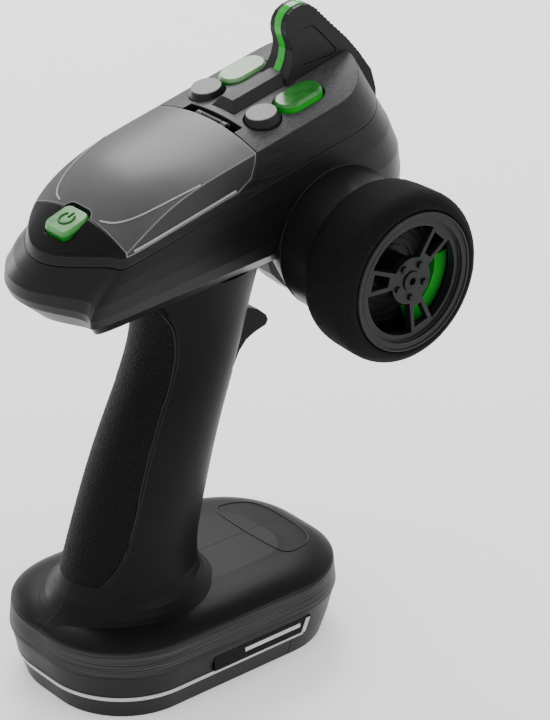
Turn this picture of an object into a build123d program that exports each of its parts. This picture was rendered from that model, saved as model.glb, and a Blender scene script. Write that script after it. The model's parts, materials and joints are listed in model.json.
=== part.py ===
from build123d import *
import math
import os

# Pistol-grip radio transmitter, in millimetres.
# The origin is the centre of the base's flat rest face. +X points to the steering
# wheel's side, +Y away from the user and +Z up.

os.makedirs("parts", exist_ok=True)

# ---------------------------------------------------------------- driving dimensions
WALL = 2.0
GAP = 0.3

# base
BASE_HALF_WIDTH = 37.4
BASE_HALF_LENGTH = 57.8
BASE_CORNER = 31.5
BASE_FLOOR_INSET = 5.0
BASE_STRIP_INSET = 2.6
BASE_CREASE_INSET = 0.8
DOOR_TOP_Z = 7.2
STRIP_Z = 7.5
STRIP_HEIGHT = 1.5
SEAM_Z = 17.5
CREASE_Z = 26.0
DOME_Z = 31.0
DOOR_FRONT_Y = 23.0

# AA cells
CELL_DIAMETER = 14.3
CELL_LENGTH = 49.0
CELL_PITCH = 14.6
CELL_CENTRE_Z = 9.9
CELL_REAR_Y = -33.0

# grip and flare sections: height, centre Y, half width, half depth
GRIP_SECTIONS = [
    (38.0, -19.5, 19.5, 25.7),
    (43.0, -18.6, 18.5, 24.9),
    (55.0, -15.6, 17.7, 23.9),
    (75.0, -9.2, 17.5, 22.6),
    (95.0, -1.4, 17.2, 20.9),
    (112.0, 5.2, 17.0, 19.8),
    (128.0, 9.0, 17.8, 20.6),
    (141.0, 10.5, 20.0, 22.5),
    (149.0, 11.0, 21.5, 23.5),
]
FLARE_SECTIONS = [
    (27.5, -16.5, 34.0, 39.0),
    (28.6, -17.7, 31.0, 35.5),
    (29.9, -18.8, 27.6, 32.0),
    (31.2, -19.5, 24.8, 29.5),
    (32.8, -19.9, 22.5, 27.7),
    (34.8, -19.9, 20.9, 26.5),
    (38.0, -19.5, 19.5, 25.7),
]

# head: tilt of the deck, and heights of its section planes at Y = 0
DECK_TILT = 12.0
BELLY_Z = 141.5
EDGE_Z = 148.3
BULGE_Z = 158.5
SEAM_PLANE_Z = 170.3
RIM_PLANE_Z = 173.2
TOP_PLANE_Z = 196.0
# spine of the deck at X = 0: a straight slope that falls away over the rounded rear
SPINE_Z = 186.3
FALL_START_Y = -8.0
FALL_RATE = 0.0072
CROWN_RADIUS = 90.0
CROWN_NARROWING = 0.9

# lid
LID_FRONT_Y = 16.9
LID_REAR_Y = -36.0
LID_GAP = 0.4
HINGE_Y = 18.8
HINGE_Z = 188.6
HINGE_PIN_RADIUS = 0.7
LUG_RADIUS = 1.3
LUG_X = 6.2
LUG_HALF = 1.0

# controls on the deck
CONTROL_X = 14.0
BUTTON_Y = 28.0
BUTTON_RADIUS = 6.0
BUTTON_TOP_RADIUS = 5.0
ROCKER_Y = 43.0
ROCKER_LENGTH = 17.5
ROCKER_WIDTH = 10.4
ROCKER_SWING = 0.45
POWER_Y = -40.3
POWER_Z = 171.4
POWER_TILT = 18.0
POWER_SIDE = 12.0

# steering wheel, its axis parallel to X
WHEEL_Y = 47.2
WHEEL_Z = 146.6
RIM_RADIUS = 23.7
TYRE_RADIUS = 29.2
TYRE_BACK_X = 42.6
SHAFT_RADIUS = 3.0

# trigger, its pivot parallel to X
PIVOT_Y = 52.0
PIVOT_Z = 151.0
TRIGGER_WIDTH = 10.0
PIVOT_RADIUS = 1.5
ANTENNA_Y = 62.0
ANTENNA_RADIUS = 1.2


# ---------------------------------------------------------------- helpers
def save(builder, name):
    """Label a finished piece and write its STEP file."""
    builder.part.label = name
    export_step(builder.part, f"parts/{name}.step")


def tilted(height, tilt=DECK_TILT):
    """Plane through (0, 0, height) that rises towards +Y by the tilt."""
    lean = math.radians(tilt)
    return Plane(origin=(0, 0, height), x_dir=(1, 0, 0), z_dir=(0, -math.sin(lean), math.cos(lean)))


def facing_x(x, y=0.0, z=0.0):
    """Plane at X = x whose local x is +Y and local y is +Z."""
    return Plane(origin=(x, y, z), x_dir=(0, 1, 0), z_dir=(1, 0, 0))


def facing_rear(y, x=0.0, z=0.0):
    """Plane at Y = y whose local x is +X and local y is +Z."""
    return Plane(origin=(x, y, z), x_dir=(1, 0, 0), z_dir=(0, -1, 0))


def spine_height(y):
    """Height of the deck at X = 0."""
    rear = min(0.0, y - FALL_START_Y)
    return SPINE_Z + math.tan(math.radians(DECK_TILT)) * y - FALL_RATE * rear**2


def deck_plane(x, y, lift=0.0):
    """Plane parallel to the deck's slope, lifted along its normal from the deck at (x, y)."""
    lean = math.radians(DECK_TILT)
    height = spine_height(y) - x**2 / (2 * CROWN_RADIUS)
    return Plane(
        origin=(x, y - lift * math.sin(lean), height + lift * math.cos(lean)),
        x_dir=(1, 0, 0),
        z_dir=(0, -math.sin(lean), math.cos(lean)),
    )


def head_face(plane, half_width, nose_y, rear_tip, front_y, front_tip, inset=0.0):
    """Plan outline of the head in a plane: rounded nose, straight sides, rounded front."""
    half = half_width - inset
    rear = rear_tip + inset
    front = front_tip - inset
    with BuildSketch(plane) as face:
        with BuildLine():
            Spline(
                (-half, nose_y),
                (-0.8 * half, nose_y - 0.71 * (nose_y - rear)),
                (0, rear),
                (0.8 * half, nose_y - 0.71 * (nose_y - rear)),
                (half, nose_y),
                tangents=[(0, -1), (0, 1)],
            )
            Line((half, nose_y), (half, front_y))
            Spline(
                (half, front_y),
                (0.8 * half, front_y + 0.64 * (front - front_y)),
                (0, front),
                (-0.8 * half, front_y + 0.64 * (front - front_y)),
                (-half, front_y),
                tangents=[(0, 1), (0, -1)],
            )
            Line((-half, front_y), (-half, nose_y))
        make_face()
    return face.sketch


def head_walls(inset):
    """Solid inside the head's side walls, from the lower edge to above the deck."""
    with BuildPart() as walls:
        loft(
            sections=[
                head_face(tilted(EDGE_Z, 3.4), 26.5, -33, -55, 62, 91, inset),
                head_face(tilted(152.6, 4.8), 27.2, -32, -56.4, 62, 91, inset),
                head_face(tilted(BULGE_Z, 6.8), 27.5, -28, -56.8, 62, 89.4, inset),
                head_face(tilted(164.6, 9.2), 27.2, -20, -55.2, 60, 85.4, inset),
                head_face(tilted(SEAM_PLANE_Z), 26.4, -12, -52, 56, 80.6, inset),
                head_face(tilted(TOP_PLANE_Z), 23.4, -10, -44, 45, 67, inset),
            ],
            ruled=True,
        )
        # belly below the lower edge
        loft(
            sections=[
                head_face(tilted(BELLY_Z + inset, 3.4), 19.5, -30, -48, 60, 83, inset),
                head_face(tilted(EDGE_Z, 3.4), 26.5, -33, -55, 62, 91, inset),
            ],
            ruled=True,
        )
    return walls.part


def under_crown(drop):
    """Solid below the crowned deck surface, lowered by a drop."""
    half_span = 29.0
    sections = []
    for step in range(11):
        y = -64.0 + 16.0 * step
        top = spine_height(y) - drop
        radius = CROWN_RADIUS + CROWN_NARROWING * min(0.0, y)
        edge = top - radius + math.sqrt(radius**2 - half_span**2)
        with BuildSketch(facing_rear(y)) as section:
            with BuildLine():
                ThreePointArc((-half_span, edge), (0, top), (half_span, edge))
                Line((half_span, edge), (half_span, 100))
                Line((half_span, 100), (-half_span, 100))
                Line((-half_span, 100), (-half_span, edge))
            make_face()
        sections.append(section.sketch)
    with BuildPart() as crown:
        loft(sections=sections)
    return crown.part


def head_block(inset):
    """The head as one solid, inset on every side."""
    with BuildPart() as block:
        add(head_walls(inset))
        add(under_crown(inset), mode=Mode.INTERSECT)
    return block.part


def side_slab(points, half_width):
    """A straight-sided side profile of (Y, Z) points, extruded both ways from X = 0."""
    with BuildPart() as slab:
        with BuildSketch(facing_x(0)):
            with BuildLine():
                Polyline(points, close=True)
            make_face()
        extrude(amount=half_width, both=True)
    return slab.part


def above(height, tilt=DECK_TILT):
    """Large block above a tilted plane."""
    with BuildPart() as block:
        with BuildSketch(tilted(height, tilt)):
            Rectangle(200, 400)
        extrude(amount=200)
    return block.part


def grip_ellipses(sections, inset):
    """Elliptical faces of the grip at the given sections, inset from its surface."""
    faces = []
    for z, centre_y, half_width, half_depth in sections:
        with BuildSketch(Plane.XY.offset(z)) as face:
            with Locations((0, centre_y)):
                Ellipse(half_width - inset, half_depth - inset)
        faces.append(face.sketch)
    return faces


def grasp_loft(inset):
    """The grip above its flare, inset from its surface."""
    with BuildPart() as grasp:
        loft(sections=grip_ellipses(GRIP_SECTIONS, inset))
    return grasp.part


def grip_block(inset):
    """The whole grip with the flare that runs out into the base, inset from its surface."""
    with BuildPart() as grip:
        add(grasp_loft(inset))
        loft(sections=grip_ellipses(FLARE_SECTIONS, inset), ruled=True)
    return grip.part


def base_face(z, inset):
    """Rounded outline of the base at a height, inset from its widest outline."""
    with BuildSketch(Plane.XY.offset(z)) as face:
        RectangleRounded(
            2 * (BASE_HALF_WIDTH - inset),
            2 * (BASE_HALF_LENGTH - inset),
            BASE_CORNER - inset,
        )
    return face.sketch


def band_outline(path, left_width, right_width):
    """Closed outline of a band that reaches left and right of a path of points."""
    left_side = []
    right_side = []
    for index, (x, y) in enumerate(path):
        before = path[max(index - 1, 0)]
        after = path[min(index + 1, len(path) - 1)]
        along = math.hypot(after[0] - before[0], after[1] - before[1])
        normal_x = -(after[1] - before[1]) / along
        normal_y = (after[0] - before[0]) / along
        left_side.append((x + normal_x * left_width, y + normal_y * left_width))
        right_side.insert(0, (x - normal_x * right_width, y - normal_y * right_width))
    return left_side + right_side


# ---------------------------------------------------------------- handle
# depth of the beds, how far the rubber and the strip stand out of them, and side
# outlines of the rubber, the strip and the hook in (Y, Z)
RUBBER_DEPTH = 1.2
RUBBER_PROUD = 0.25
FRONT_STRIP_PROUD = 0.15
RUBBER_PROFILE = [
    (-9, 133), (-6.5, 125), (-8, 112), (-16, 94), (-22.5, 78), (-27.5, 61), (-33, 48),
    (-40, 41), (-75, 41), (-75, 136), (-15, 136),
]
STRIP_PROFILE = [(17.5, 103), (12.0, 82), (4.0, 57), (2.0, 50), (40, 50), (40, 103)]
HOOK_PROFILE = [
    (18, 122), (28, 120.6), (33, 118.4), (36.4, 115.3), (37.2, 113.2), (36.2, 111.6), (32.0, 110.6),
    (27.8, 108.8), (24.8, 105.6), (22.4, 101), (18, 96),
]
HOOK_HALF_WIDTH = 5.6
TRIGGER_SLOT_HALF = 6.2

grip_outer = grip_block(0.0)
grip_inner = grip_block(WALL + RUBBER_DEPTH)
grasp_bed = grasp_loft(RUBBER_DEPTH)
grasp_clearance = grasp_loft(-1.0)
rubber_zone = side_slab(RUBBER_PROFILE, 40)
strip_zone = side_slab(STRIP_PROFILE, 40)
neck_slot = side_slab([(27, 130), (80, 130), (80, 156), (27, 156)], TRIGGER_SLOT_HALF)
head_slot = side_slab([(31, 130), (67, 130), (67, 156), (31, 156)], TRIGGER_SLOT_HALF)

# base top: band, dome and their hollow
with BuildPart() as base_cap_outer:
    loft(sections=[base_face(SEAM_Z + GAP, 0.0), base_face(CREASE_Z, BASE_CREASE_INSET)], ruled=True)
    loft(
        sections=[
            base_face(CREASE_Z, BASE_CREASE_INSET),
            base_face(CREASE_Z + 2.6, 5.0),
            base_face(CREASE_Z + 4.2, 12.0),
            base_face(DOME_Z, 20.0),
        ]
    )
with BuildPart() as base_cap_inner:
    loft(sections=[base_face(SEAM_Z, WALL), base_face(CREASE_Z - 1, WALL + 1)], ruled=True)
    loft(
        sections=[
            base_face(CREASE_Z - 1, WALL + 1),
            base_face(CREASE_Z + 2.0, 12.0),
            base_face(DOME_Z - WALL, 20.0),
        ],
        ruled=True,
    )

with BuildPart() as handle:
    add(grip_outer)
    add(base_cap_outer.part)
    # finger hook in front of the neck
    with BuildSketch(facing_x(0)):
        with BuildLine():
            Polyline(HOOK_PROFILE, close=True)
        make_face()
    extrude(amount=HOOK_HALF_WIDTH, both=True)
    add(grip_inner, mode=Mode.SUBTRACT)
    add(base_cap_inner.part, mode=Mode.SUBTRACT)
    add(above(BELLY_Z - 0.05, 3.4), mode=Mode.SUBTRACT)
    add(neck_slot, mode=Mode.SUBTRACT)

# shallow beds for the rubber panel and the front strip
with BuildPart() as rubber_bed:
    add(grasp_clearance)
    add(grasp_bed, mode=Mode.SUBTRACT)
    add(rubber_zone, mode=Mode.INTERSECT)
with BuildPart() as strip_bed:
    add(grasp_clearance)
    add(grasp_bed, mode=Mode.SUBTRACT)
    add(strip_zone, mode=Mode.INTERSECT)
with BuildPart() as handle_with_beds:
    add(handle.part)
    add(rubber_bed.part, mode=Mode.SUBTRACT)
    add(strip_bed.part, mode=Mode.SUBTRACT)

with BuildPart() as handle_right:
    add(handle_with_beds.part)
    split(bisect_by=Plane.YZ, keep=Keep.TOP)
save(handle_right, "handle_right")

with BuildPart() as handle_left:
    add(handle_with_beds.part)
    split(bisect_by=Plane.YZ, keep=Keep.BOTTOM)
save(handle_left, "handle_left")

with BuildPart() as grip_rubber:
    add(grasp_loft(-RUBBER_PROUD))
    add(grasp_bed, mode=Mode.SUBTRACT)
    add(rubber_zone, mode=Mode.INTERSECT)
save(grip_rubber, "grip_rubber")

with BuildPart() as grip_front_strip:
    add(grasp_loft(-FRONT_STRIP_PROUD))
    add(grasp_bed, mode=Mode.SUBTRACT)
    add(strip_zone, mode=Mode.INTERSECT)
save(grip_front_strip, "grip_front_strip")

# ---------------------------------------------------------------- head shells
# half of the groove between the lower shell and the top cover
SHELL_SEAM = 0.15

head_outer = head_block(0.0)
head_inner = head_block(WALL)

with BuildPart() as chin_outer:
    with BuildSketch(facing_x(9.0, 50.0, 150.0)):
        Circle(18.5)
    with BuildSketch(facing_x(27.6, 48.5, 148.5)):
        Circle(24.6)
    loft()
with BuildPart() as chin_inner:
    with BuildSketch(facing_x(11.0, 50.0, 150.0)):
        Circle(16.5)
    with BuildSketch(facing_x(28.0, 48.5, 148.5)):
        Circle(22.0)
    loft()

with BuildPart() as head_lower_shell:
    add(head_outer)
    add(above(SEAM_PLANE_Z - SHELL_SEAM), mode=Mode.SUBTRACT)
    add(chin_outer.part)
    add(head_inner, mode=Mode.SUBTRACT)
    add(chin_inner.part, mode=Mode.SUBTRACT)
    add(head_slot, mode=Mode.SUBTRACT)
    # opening into the grip for the wires
    with BuildSketch(Plane.XY.offset(135)):
        with Locations((0, 8)):
            Ellipse(12, 12)
    extrude(amount=12, mode=Mode.SUBTRACT)
save(head_lower_shell, "head_lower_shell")

# side boundary of the lid's front edge, a shallow curve in (Y, Z)
LID_SIDE = [(7.0, 174.6), (13.6, 178.5), (15.6, 183.0), (LID_FRONT_Y, 190.0)]
SLOT_WIDTH = 3.6
SLOT_HALF = 13.0


def lid_zone(front_shift, rear_shift, rim_shift):
    """Region of the lid between its rear edge and its curved front edge."""
    with BuildPart() as zone:
        with BuildSketch(facing_x(0)):
            with BuildLine():
                Polyline([(y + front_shift, z) for y, z in LID_SIDE])
                Line((LID_FRONT_Y + front_shift, 190.0), (LID_FRONT_Y + front_shift, 215))
                Line((LID_FRONT_Y + front_shift, 215), (LID_REAR_Y + rear_shift, 215))
                Line((LID_REAR_Y + rear_shift, 215), (LID_REAR_Y + rear_shift, 150))
                Line((LID_REAR_Y + rear_shift, 150), (7.0 + front_shift, 150))
                Line((7.0 + front_shift, 150), (7.0 + front_shift, 174.6))
            make_face()
        extrude(amount=40, both=True)
        add(above(RIM_PLANE_Z + rim_shift), mode=Mode.INTERSECT)
    return zone.part


def power_plane(lift=0.0):
    """Plane of the power button's top face, raised by a lift."""
    lean = math.radians(POWER_TILT)
    return Plane(
        origin=(0, POWER_Y - lift * math.sin(lean), POWER_Z + lift * math.cos(lean)),
        x_dir=(1, 0, 0),
        z_dir=(0, -math.sin(lean), math.cos(lean)),
    )


def power_prism(side, corner, depth, lift=0.0):
    """Rounded square prism along the power button's axis."""
    with BuildPart() as prism:
        with BuildSketch(power_plane(lift)):
            RectangleRounded(side, side, corner)
        extrude(amount=-depth)
    return prism.part


lid_space = lid_zone(LID_GAP, -60, 0.0)
with BuildPart() as head_top_cover:
    add(head_outer)
    add(above(SEAM_PLANE_Z + SHELL_SEAM), mode=Mode.INTERSECT)
    add(head_inner, mode=Mode.SUBTRACT)
    add(lid_space, mode=Mode.SUBTRACT)
    # finger slot in front of the lid
    with BuildSketch(Plane.XY.offset(HINGE_Z - 8)):
        with Locations((0, LID_FRONT_Y - 1 + (SLOT_WIDTH + 1) / 2)):
            Rectangle(2 * SLOT_HALF, SLOT_WIDTH + 1)
    extrude(amount=16, mode=Mode.SUBTRACT)
    for side in (-1, 1):
        with BuildSketch(deck_plane(side * CONTROL_X, BUTTON_Y, 3.0)):
            Circle(BUTTON_RADIUS + GAP)
        extrude(amount=-9, mode=Mode.SUBTRACT)
        with BuildSketch(deck_plane(side * CONTROL_X, ROCKER_Y, 3.0)):
            SlotOverall(ROCKER_LENGTH + 2 * (GAP + ROCKER_SWING), ROCKER_WIDTH + 2 * GAP, rotation=90)
        extrude(amount=-9, mode=Mode.SUBTRACT)
    # hole for the antenna inside the fin
    with BuildSketch(deck_plane(0, ANTENNA_Y, 3.0)):
        Circle(ANTENNA_RADIUS + GAP)
    extrude(amount=-9, mode=Mode.SUBTRACT)
save(head_top_cover, "head_top_cover")

# ---------------------------------------------------------------- lid and its surround
with BuildPart() as lid:
    add(head_outer)
    add(lid_zone(0.0, 0.0, GAP), mode=Mode.INTERSECT)
    add(head_inner, mode=Mode.SUBTRACT)
    add(power_prism(POWER_SIDE + 1.6, 3.4, 30, 10), mode=Mode.SUBTRACT)
    # two tongues that reach forward to the hinge pin
    for side in (-1, 1):
        with BuildSketch(facing_x(side * LUG_X, HINGE_Y, HINGE_Z)):
            Circle(LUG_RADIUS)
            with Locations((-1.6, -0.3)):
                Rectangle(3.2, 1.4)
        extrude(amount=LUG_HALF, both=True)
    with BuildSketch(facing_x(-20, HINGE_Y, HINGE_Z)):
        Circle(HINGE_PIN_RADIUS + 0.08)
    extrude(amount=40, mode=Mode.SUBTRACT)
save(lid, "lid")

with BuildPart() as lid_hinge_barrel:
    with BuildSketch(facing_x(0, HINGE_Y, HINGE_Z)):
        Circle(LUG_RADIUS)
        with Locations((0, -2.2)):
            Rectangle(1.8, 4.4)
        Circle(HINGE_PIN_RADIUS, mode=Mode.SUBTRACT)
    extrude(amount=LUG_X - LUG_HALF - GAP, both=True)
    with BuildSketch(Plane.XY.offset(HINGE_Z - 5.6)):
        with Locations((0, HINGE_Y)):
            Rectangle(30, 8)
    extrude(amount=1.2)
save(lid_hinge_barrel, "lid_hinge_barrel")

with BuildPart() as lid_hinge_pin:
    with BuildSketch(facing_x(0, HINGE_Y, HINGE_Z)):
        Circle(HINGE_PIN_RADIUS)
    extrude(amount=LUG_X + LUG_HALF + 0.4, both=True)
save(lid_hinge_pin, "lid_hinge_pin")

with BuildPart() as rear_surround:
    add(head_outer)
    with BuildSketch(Plane.XY.offset(150)):
        with Locations((0, LID_REAR_Y - GAP - 20)):
            Rectangle(80, 40)
    extrude(amount=60, mode=Mode.INTERSECT)
    add(above(RIM_PLANE_Z + 0.1), mode=Mode.INTERSECT)
    add(head_inner, mode=Mode.SUBTRACT)
    add(power_prism(POWER_SIDE + 2 * GAP, 2.9, 30, 10), mode=Mode.SUBTRACT)
save(rear_surround, "rear_surround")

with BuildPart() as power_button:
    with BuildSketch(power_plane()):
        RectangleRounded(POWER_SIDE - 1.2, POWER_SIDE - 1.2, 2.4)
    with BuildSketch(power_plane(-1.6)):
        RectangleRounded(POWER_SIDE, POWER_SIDE, 2.8)
    loft()
    with BuildSketch(power_plane(-1.6)):
        RectangleRounded(POWER_SIDE, POWER_SIDE, 2.8)
    extrude(amount=-5.4)
save(power_button, "power_button")

# ---------------------------------------------------------------- deck controls
ROCKER_PIVOT_LIFT = -4.4
DECK_BOARD_LIFT = -9.5


def rocker_axis(x):
    """Plane across a rocker's pin, facing +X."""
    centre = deck_plane(CONTROL_X, ROCKER_Y, ROCKER_PIVOT_LIFT).origin
    return facing_x(x, centre.Y, centre.Z)


for side, place in ((1, "right"), (-1, "left")):
    with BuildPart() as round_button:
        with BuildSketch(deck_plane(side * CONTROL_X, BUTTON_Y, 0.0)):
            Circle(BUTTON_RADIUS)
        with BuildSketch(deck_plane(side * CONTROL_X, BUTTON_Y, 2.6)):
            Circle(BUTTON_TOP_RADIUS)
        loft()
        with BuildSketch(deck_plane(side * CONTROL_X, BUTTON_Y, 0.0)):
            Circle(BUTTON_RADIUS)
        extrude(amount=-4.4)
    save(round_button, f"push_button_{place}")

    with BuildPart() as rocker:
        with BuildSketch(deck_plane(side * CONTROL_X, ROCKER_Y, 1.9)):
            SlotOverall(ROCKER_LENGTH - 1.4, ROCKER_WIDTH - 1.4, rotation=90)
        with BuildSketch(deck_plane(side * CONTROL_X, ROCKER_Y, 0.9)):
            SlotOverall(ROCKER_LENGTH, ROCKER_WIDTH, rotation=90)
        loft()
        with BuildSketch(deck_plane(side * CONTROL_X, ROCKER_Y, 0.9)):
            SlotOverall(ROCKER_LENGTH, ROCKER_WIDTH, rotation=90)
        extrude(amount=-3.4)
        # lug for the rocker's pin
        with BuildSketch(deck_plane(side * CONTROL_X, ROCKER_Y, -2.5)):
            Rectangle(5.0, 4.0)
        extrude(amount=-3.6)
        with BuildSketch(rocker_axis(side * CONTROL_X)):
            Circle(0.88)
        extrude(amount=8, both=True, mode=Mode.SUBTRACT)
    save(rocker, f"trim_rocker_{place}")

with BuildPart() as rocker_pins:
    for side in (-1, 1):
        with BuildSketch(rocker_axis(side * CONTROL_X)):
            Circle(0.8)
        extrude(amount=4.4, both=True)
save(rocker_pins, "rocker_pins")

with BuildPart() as deck_board:
    with BuildSketch(deck_plane(0, 38.0, DECK_BOARD_LIFT)):
        RectangleRounded(42, 40, 3)
    extrude(amount=-1.6)
    # posts that hold the rockers' pins
    for side in (-1, 1):
        for reach in (-3.6, 3.6):
            with BuildSketch(deck_plane(0, ROCKER_Y, DECK_BOARD_LIFT)):
                with Locations((side * CONTROL_X + reach, 0)):
                    Rectangle(1.6, 3.0)
            extrude(amount=5.6)
        with BuildSketch(rocker_axis(side * CONTROL_X)):
            Circle(0.8)
        extrude(amount=8, both=True, mode=Mode.SUBTRACT)
save(deck_board, "deck_board")

with BuildPart() as tact_switches:
    for side in (-1, 1):
        for along, height in ((BUTTON_Y, 2.5), (ROCKER_Y - 5.5, 2.6), (ROCKER_Y + 5.5, 2.6)):
            with BuildSketch(deck_plane(0, along, DECK_BOARD_LIFT)):
                with Locations((side * CONTROL_X, 0)):
                    Rectangle(4.0, 4.0)
            extrude(amount=height - 1.0)
            with BuildSketch(deck_plane(0, along, DECK_BOARD_LIFT + height - 1.0)):
                with Locations((side * CONTROL_X, 0)):
                    Circle(1.1)
            extrude(amount=0.8)
    # the power button's switch
    with BuildSketch(power_plane(-9.2)):
        Rectangle(6.0, 6.0)
    extrude(amount=-2.6)
    with BuildSketch(power_plane(-9.2)):
        Circle(1.4)
    extrude(amount=0.9)
save(tact_switches, "tact_switches")

# ---------------------------------------------------------------- antenna fin and ridge
# rear edge of the fin from the ridge to its crest, in (Y, Z)
FIN_REAR_EDGE = [
    (44.6, 197.6), (46.4, 199.8), (47.6, 202.5), (48.2, 206.0), (47.6, 208.6), (46.6, 211.2),
    (46.2, 213.6), (46.5, 216.0), (47.8, 218.2), (50.4, 219.7), (53.4, 220.2), (56.0, 219.6),
]
FIN_PROFILE = [(43.5, 190)] + FIN_REAR_EDGE + [
    (60.0, 216.8), (65.0, 211.4), (71.6, 204.6), (76.5, 198.4), (79.9, 192.6), (80.3, 188.0),
    (80.4, 182.0), (79.0, 176.0), (60.0, 190.0),
]
# the light strip stands a little proud of the fin's rear edge and is let into it
STRIP_PROUD = 0.25
STRIP_SUNK = 1.3
STRIP_HALF_WIDTH = 1.5
INLAY_DEPTH = 1.0
# half width of the fin's flank at its foot and crest, as (half width, Z)
FLANK_LOW = (6.2, 197.0)
FLANK_HIGH = (3.0, 221.0)
# outline of the side recess, in (Y, Z)
INLAY_OUTLINE = [(52.0, 200.4), (51.6, 212.4), (57.3, 212.9), (60.5, 209.6), (67.4, 201.6), (64.0, 200.9)]


def fin_flank(side, lift):
    """Plane along the fin's leaning flank, raised from it by a lift."""
    lean = math.atan2(FLANK_LOW[0] - FLANK_HIGH[0], FLANK_HIGH[1] - FLANK_LOW[1])
    normal = (side * math.cos(lean), 0, math.sin(lean))
    origin = (side * FLANK_LOW[0] + lift * normal[0], 0, FLANK_LOW[1] + lift * normal[2])
    return Plane(origin=origin, x_dir=(0, side, 0), z_dir=normal)


def inlay_face(side, lift, inset):
    """Side panel on the fin's flank, shrunk by an inset."""
    with BuildSketch(fin_flank(side, lift)) as face:
        with BuildLine():
            Polyline([(side * y, z - FLANK_LOW[1]) for y, z in INLAY_OUTLINE], close=True)
        make_face()
        fillet(face.vertices(), radius=1.2)
        if inset > 0:
            offset(amount=-inset, mode=Mode.REPLACE)
    return face.sketch


with BuildPart() as strip_builder:
    with BuildSketch(facing_x(0)):
        with BuildLine():
            Polyline(band_outline(FIN_REAR_EDGE, STRIP_PROUD, STRIP_SUNK), close=True)
        make_face()
    extrude(amount=STRIP_HALF_WIDTH, both=True)
strip_slab = strip_builder.part

with BuildPart() as antenna_fin:
    with BuildSketch(facing_x(0)):
        with BuildLine():
            Polyline(FIN_PROFILE, close=True)
        make_face()
    extrude(amount=11, both=True)
    # taper across the width
    with BuildSketch(facing_rear(30)):
        with BuildLine():
            Polyline(
                (-10.0, 170),
                (-9.6, 186),
                (-FLANK_LOW[0], FLANK_LOW[1]),
                (-FLANK_HIGH[0], FLANK_HIGH[1]),
                FLANK_HIGH,
                FLANK_LOW,
                (9.6, 186),
                (10.0, 170),
                close=True,
            )
        make_face()
    extrude(amount=-70, mode=Mode.INTERSECT)
    # ridge that runs back from the fin along the deck
    with BuildSketch(deck_plane(0, 34.5, -0.3)):
        Rectangle(11.4, 24)
    with BuildSketch(deck_plane(0, 35.8, 2.9)):
        Rectangle(5.6, 21)
    loft()
    add(head_outer, mode=Mode.SUBTRACT)
    # seat of the light strip, recesses of the side inlays and the antenna's bore
    add(strip_slab, mode=Mode.SUBTRACT)
    for side in (-1, 1):
        extrude(inlay_face(side, -INLAY_DEPTH, 0.0), amount=6, mode=Mode.SUBTRACT)
    with BuildSketch(deck_plane(0, ANTENNA_Y, -2.0)):
        Circle(ANTENNA_RADIUS + GAP)
    extrude(amount=16, mode=Mode.SUBTRACT)
save(antenna_fin, "antenna_fin")

with BuildPart() as fin_light_strip:
    add(strip_slab)
save(fin_light_strip, "fin_light_strip")

with BuildPart() as fin_inlays:
    for side in (-1, 1):
        extrude(inlay_face(side, -INLAY_DEPTH, 0.15), amount=INLAY_DEPTH - 0.25)
    add(head_outer, mode=Mode.SUBTRACT)
save(fin_inlays, "fin_inlays")

with BuildPart() as antenna_rod:
    with BuildSketch(deck_plane(0, ANTENNA_Y, -8.0)):
        Circle(ANTENNA_RADIUS)
    extrude(amount=21)
save(antenna_rod, "antenna_rod")

# ---------------------------------------------------------------- steering wheel
SPOKE_ANGLES = (46.0, 166.0, 286.0)
LUG_COUNT = 5
LUG_CIRCLE = 5.8
HUB_RADIUS = 7.9


def wheel_plane(x):
    """Plane across the wheel's axis at X = x."""
    return facing_x(x, WHEEL_Y, WHEEL_Z)


def ring(x_start, length, outer, inner):
    """Ring about the wheel's axis."""
    with BuildPart() as piece:
        with BuildSketch(wheel_plane(x_start)):
            Circle(outer)
            Circle(inner, mode=Mode.SUBTRACT)
        extrude(amount=length)
    return piece.part


with BuildPart() as wheel_boss:
    with BuildSketch(facing_x(27.9, 48.5, 148.5)):
        Circle(24.4)
    with BuildSketch(wheel_plane(41.8)):
        Circle(23.6)
    loft()
    with BuildSketch(facing_x(27.9, 48.5, 148.5)):
        Circle(22.0)
    with BuildSketch(wheel_plane(38.8)):
        Circle(21.2)
    loft(mode=Mode.SUBTRACT)
    with BuildSketch(wheel_plane(27.9)):
        Circle(9.0)
    extrude(amount=12)
    with BuildSketch(wheel_plane(27.0)):
        Circle(6.0)
    extrude(amount=16, mode=Mode.SUBTRACT)
save(wheel_boss, "wheel_boss")

with BuildPart() as bearing_bush:
    add(ring(29.0, 12.4, 6.0, SHAFT_RADIUS + 0.06))
save(bearing_bush, "bearing_bush")

with BuildPart() as steering_shaft:
    with BuildSketch(wheel_plane(12.0)):
        Circle(SHAFT_RADIUS)
    extrude(amount=46)
save(steering_shaft, "steering_shaft")

with BuildPart() as centring_arm:
    add(ring(22.0, 4.0, 5.6, SHAFT_RADIUS))
    with BuildSketch(wheel_plane(22.0)):
        with Locations((0, 8.0)):
            Rectangle(3.0, 6.5)
    extrude(amount=4.0)
save(centring_arm, "centring_arm")

with BuildPart() as steering_spring:
    for turn in range(3):
        with BuildSketch(wheel_plane(17.4 + 1.6 * turn)):
            Circle(5.4)
            Circle(4.4, mode=Mode.SUBTRACT)
        extrude(amount=1.0)
    with BuildSketch(wheel_plane(17.4)):
        with Locations((0, -5.6)):
            Rectangle(1.0, 2.0)
    extrude(amount=4.2)
save(steering_spring, "steering_spring")

with BuildPart() as steering_sensor:
    with BuildSketch(wheel_plane(11.6)):
        RectangleRounded(15, 15, 2)
    extrude(amount=5.2)
    with BuildSketch(wheel_plane(11.0)):
        Circle(SHAFT_RADIUS + 0.1)
    extrude(amount=8, mode=Mode.SUBTRACT)
save(steering_sensor, "steering_sensor")

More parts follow.
